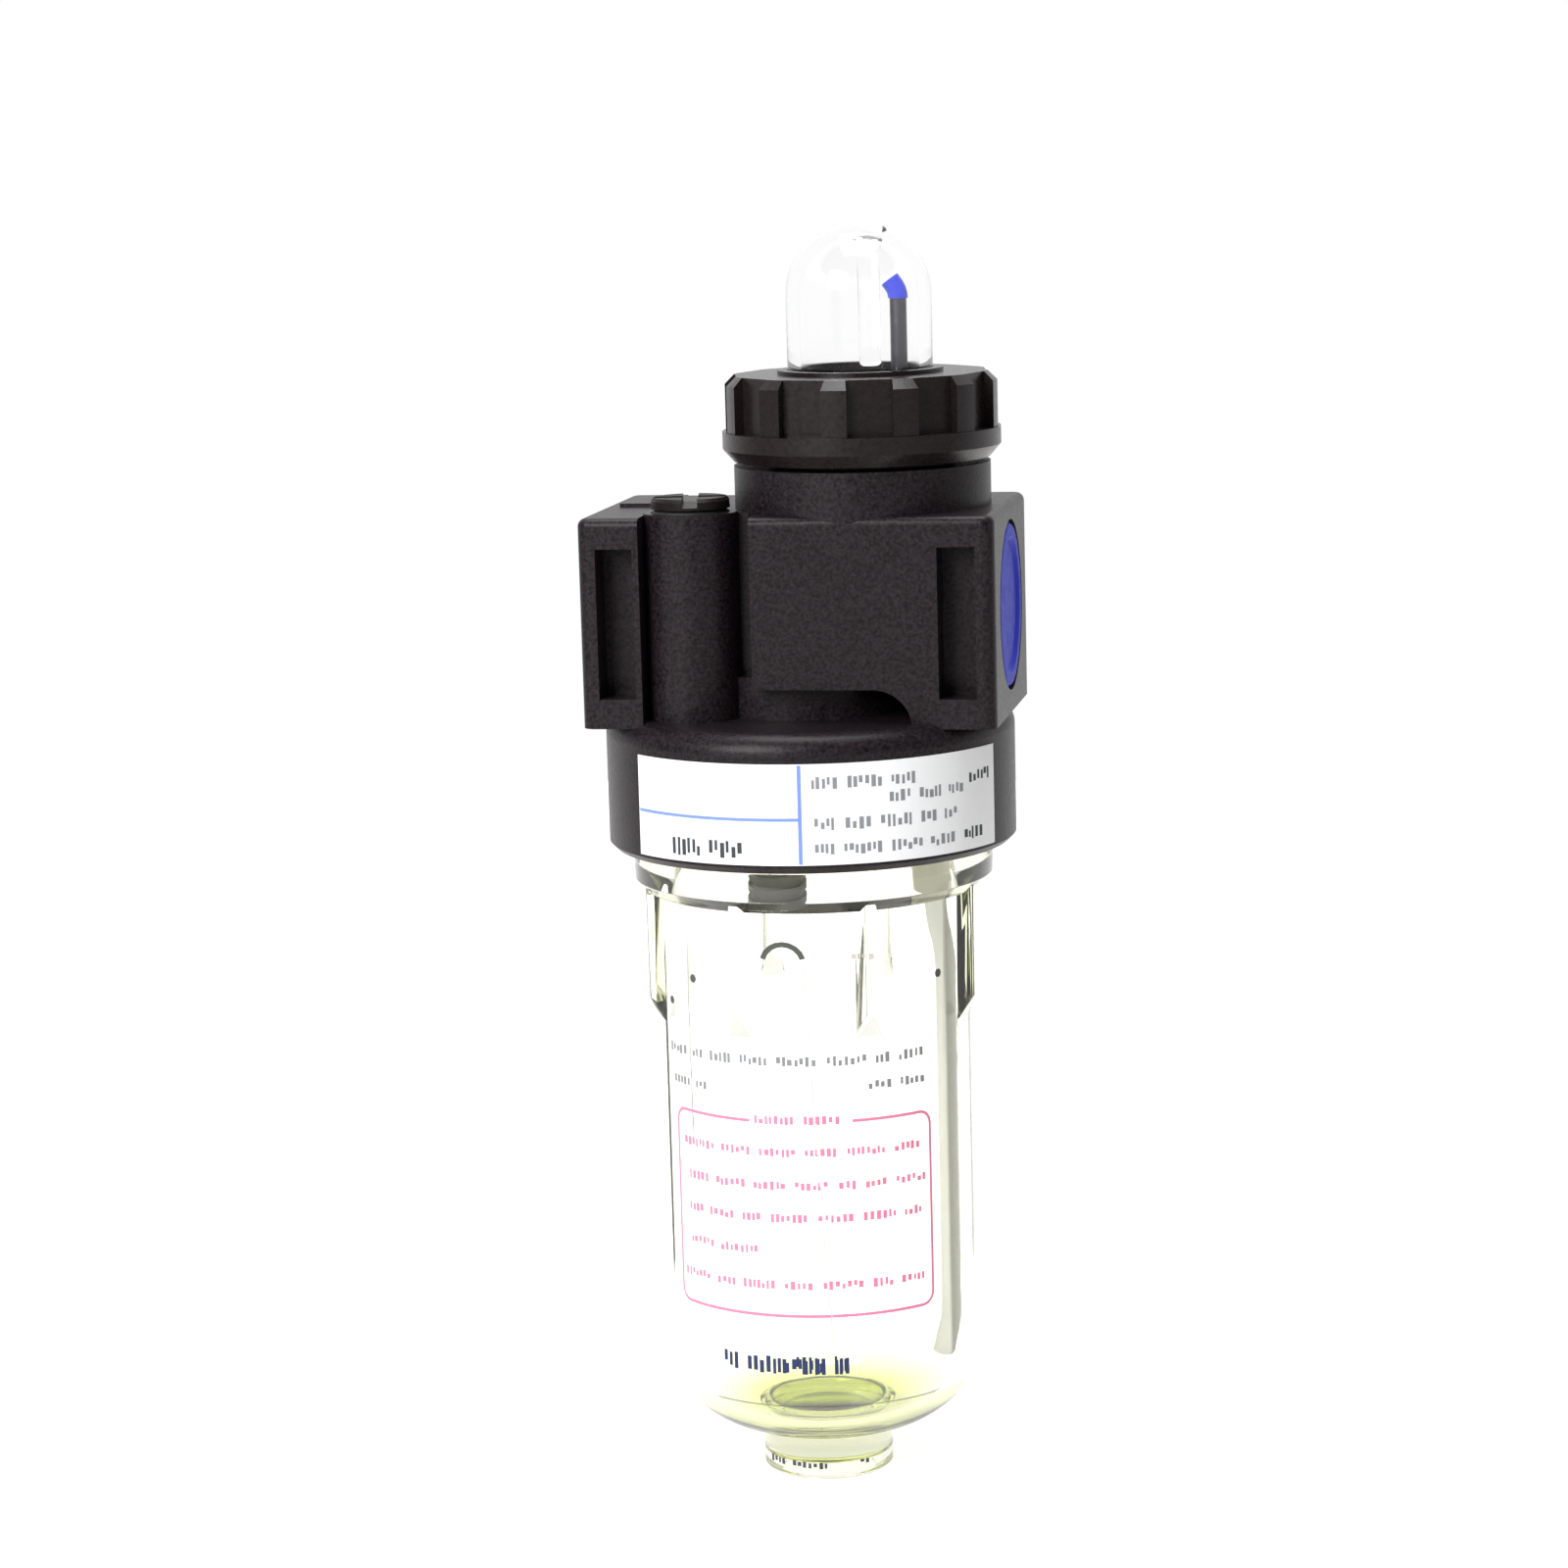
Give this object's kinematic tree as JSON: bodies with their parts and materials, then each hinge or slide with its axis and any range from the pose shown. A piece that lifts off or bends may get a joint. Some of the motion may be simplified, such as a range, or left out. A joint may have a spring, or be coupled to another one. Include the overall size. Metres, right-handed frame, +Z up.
{
  "type": "air line lubricator",
  "caption": "In-line compressed-air lubricator: die-cast port block, screwed ribbed clear oil bowl with siphon tube, fluted feed knob and clear sight dome with drip tube.",
  "frame": {"origin": "centre of the lower face of the foot under the bowl, on the bowl's axis", "axes": "+Z up along the bowl's axis, +X along the air flow from inlet to outlet, the rating label looks along -Y"},
  "size_m": [0.04, 0.0401, 0.1239],
  "materials": {
    "body_paint": "satin, finely grained black",
    "seat_brass": "turned",
    "bleed_plastic": "semi-gloss grey",
    "fitting_plastic": "semi-gloss, translucent white",
    "stop_brass": "turned",
    "siphon_plastic": "semi-gloss olive grey",
    "holder_plastic": "matte",
    "damper_rubber": "soft black",
    "label_film": "white film with blue lines",
    "knob_plastic": "semi-gloss black",
    "dome_plastic": "clear, gloss",
    "gasket_rubber": "soft black",
    "drip_block_plastic": "matte black",
    "drip_tube_metal": "darkened",
    "tip_plastic": "gloss blue",
    "needle_steel": "ground",
    "plug_brass": "dark, tarnished",
    "cap_plastic": "semi-matte blue",
    "bowl_plastic": "clear, gloss",
    "ball_steel": "polished",
    "bowl_seal_rubber": "soft black",
    "dome_seal_rubber": "soft black",
    "stem_seal_rubber": "soft black",
    "plug_seal_rubber": "soft black"
  },
  "bodies": {
    "housing": {"body": "body_paint", "needle_seat": "seat_brass", "bleed_fitting": "bleed_plastic", "siphon_fitting": "fitting_plastic", "ball_stop": "stop_brass", "siphon_tube": "siphon_plastic", "damper_holder": "holder_plastic", "flow_damper": "damper_rubber", "rating_label": "label_film"},
    "feed_lift": {"dome_seal": "dome_seal_rubber", "stem_seal": "stem_seal_rubber"},
    "feed_head": {"feed_knob": "knob_plastic", "sight_dome": "dome_plastic", "dome_gasket": "gasket_rubber", "drip_block": "drip_block_plastic", "drip_tube": "drip_tube_metal", "drip_tip": "tip_plastic", "metering_needle": "needle_steel"},
    "plug_lift": {"filler_plug_seal": "plug_seal_rubber"},
    "plug": {"filler_plug": "plug_brass"},
    "bowl_lift": {"bowl_seal": "bowl_seal_rubber"},
    "bowl": {"bowl": "bowl_plastic"},
    "cap": {"outlet_cap": "cap_plastic"},
    "ball": {"check_ball": "ball_steel"}
  },
  "joints": [
    {"name": "feed_slide", "type": "slide", "parent": "housing", "child": "feed_lift", "axis": [0, 0, 1], "range_m": [-0.00033, 0.00067]},
    {"name": "feed_turn", "type": "hinge", "parent": "feed_lift", "child": "feed_head", "pos_m": [0.00575, 0, 0.1], "axis": [0, 0, 1], "range_deg": [-120, 240]},
    {"name": "plug_slide", "type": "slide", "parent": "housing", "child": "plug_lift", "axis": [0, 0, 1], "range_m": [0, 0.004]},
    {"name": "plug_turn", "type": "hinge", "parent": "plug_lift", "child": "plug", "pos_m": [-0.0097, -0.00785, 0.096], "axis": [0, 0, 1], "range_deg": [0, 1440]},
    {"name": "bowl_slide", "type": "slide", "parent": "housing", "child": "bowl_lift", "axis": [0, 0, -1], "range_m": [0, 0.006]},
    {"name": "bowl_turn", "type": "hinge", "parent": "bowl_lift", "child": "bowl", "pos_m": [0, 0, 0.064], "axis": [0, 0, -1], "range_deg": [0, 1440]},
    {"name": "cap_slide", "type": "slide", "parent": "housing", "child": "cap", "axis": [1, 0, 0], "range_m": [0, 0.01]},
    {"name": "ball_slide", "type": "slide", "parent": "housing", "child": "ball", "axis": [0, 0, 1], "range_m": [0, 0.0008]}
  ],
  "couplings": [
    {"joint": "feed_turn", "follows": "feed_slide", "rad_per_m": 6283.2},
    {"joint": "plug_turn", "follows": "plug_slide", "rad_per_m": 6283.2},
    {"joint": "bowl_turn", "follows": "bowl_slide", "rad_per_m": 4188.8}
  ]
}
